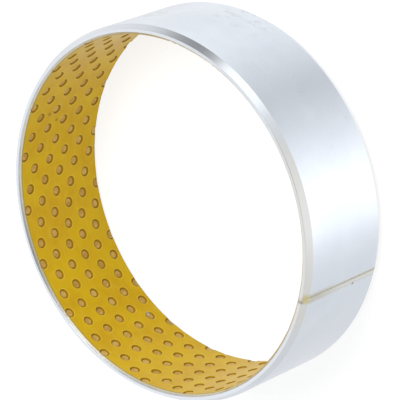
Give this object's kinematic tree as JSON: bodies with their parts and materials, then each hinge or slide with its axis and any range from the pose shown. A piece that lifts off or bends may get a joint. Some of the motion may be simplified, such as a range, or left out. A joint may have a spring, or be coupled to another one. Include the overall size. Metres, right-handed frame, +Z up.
{
  "type": "lined wrapped bushing",
  "caption": "Thin rolled steel ring with a butt joint, lined with acetal over porous bronze; rows of grease pockets in its bore let a shaft turn or swing with little greasing.",
  "frame": {"origin": "centre of the lower end face, on the bore's axis", "axes": "+Z up along the bore's axis, -Y through the butt joint, +X completes a right-handed frame"},
  "size_m": [0.1, 0.1, 0.03],
  "materials": {
    "plated_steel": "satin",
    "porous_bronze": "matte",
    "acetal": "satin"
  },
  "bodies": {
    "root": {"steel_backing": "plated_steel", "bronze_interlayer": "porous_bronze", "acetal_lining": "acetal"}
  },
  "joints": []
}
